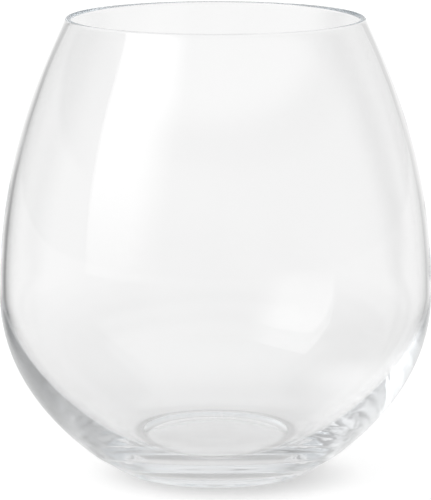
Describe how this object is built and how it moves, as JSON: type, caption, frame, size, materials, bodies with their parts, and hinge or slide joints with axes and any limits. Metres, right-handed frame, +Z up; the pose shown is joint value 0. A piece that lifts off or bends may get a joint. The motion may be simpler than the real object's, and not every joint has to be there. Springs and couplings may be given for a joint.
{
  "type": "stemless wine glass",
  "caption": "Stemless wine glass: a wide round bowl of clear glass that narrows to a rounded rim and stands on a heavy base with a ring under it.",
  "frame": {"origin": "centre of the standing ring, on the surface that the glass rests on", "axes": "+Z up along the glass's axis of revolution, through the middle of the open rim"},
  "size_m": [0.099, 0.099, 0.105],
  "materials": {
    "clear_glass": "clear, smooth and glossy, with a faint blue-grey tint where it is thick"
  },
  "bodies": {
    "root": {"glass": "clear_glass"}
  },
  "joints": []
}
